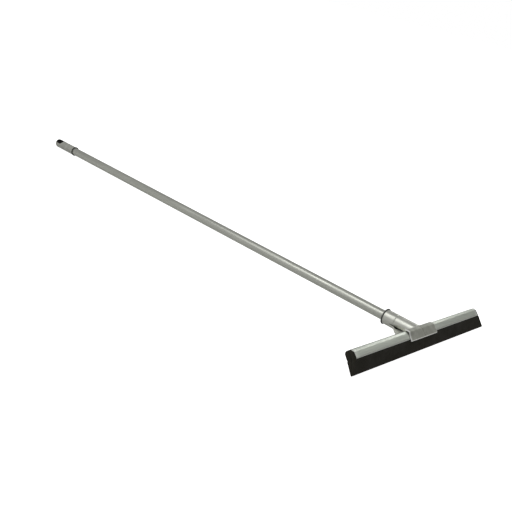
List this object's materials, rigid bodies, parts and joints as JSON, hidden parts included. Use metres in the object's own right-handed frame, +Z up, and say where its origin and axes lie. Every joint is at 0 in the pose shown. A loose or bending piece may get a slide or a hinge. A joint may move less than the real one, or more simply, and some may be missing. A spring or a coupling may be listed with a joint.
{
  "type": "floor squeegee",
  "caption": "Floor squeegee with a folded steel channel, thick foam rubber lips, a pressed socket with a welded plate, and a long tube handle with a slotted hanging cap.",
  "frame": {"origin": "centre of the bounding box's base; the tool lies at rest on its rear lip's edge and on the cap's rim", "axes": "+X along the channel, +Y along the handle from the head to the cap, +Z up"},
  "size_m": [0.5778, 1.4704, 0.0456],
  "materials": {
    "handle_metal": "satin, with fine lengthwise drawing lines",
    "cap_plastic": "matt moulded grey",
    "bush_plastic": "matt moulded dark grey",
    "screw_steel": "bright zinc",
    "socket_steel": "bright zinc with fine lengthwise lines",
    "plate_steel": "dull zinc",
    "galvanised_steel": "galvanised, dull with a faint spangle",
    "foam_rubber": "matt, finely pored"
  },
  "bodies": {
    "root": {"handle_tube": "handle_metal", "hanging_cap": "cap_plastic", "socket_bush": "bush_plastic", "handle_screw": "screw_steel", "socket_tube": "socket_steel", "front_plate": "plate_steel", "rear_brace": "plate_steel", "rail": "galvanised_steel", "front_strip": "foam_rubber", "rear_strip": "foam_rubber"}
  },
  "joints": []
}
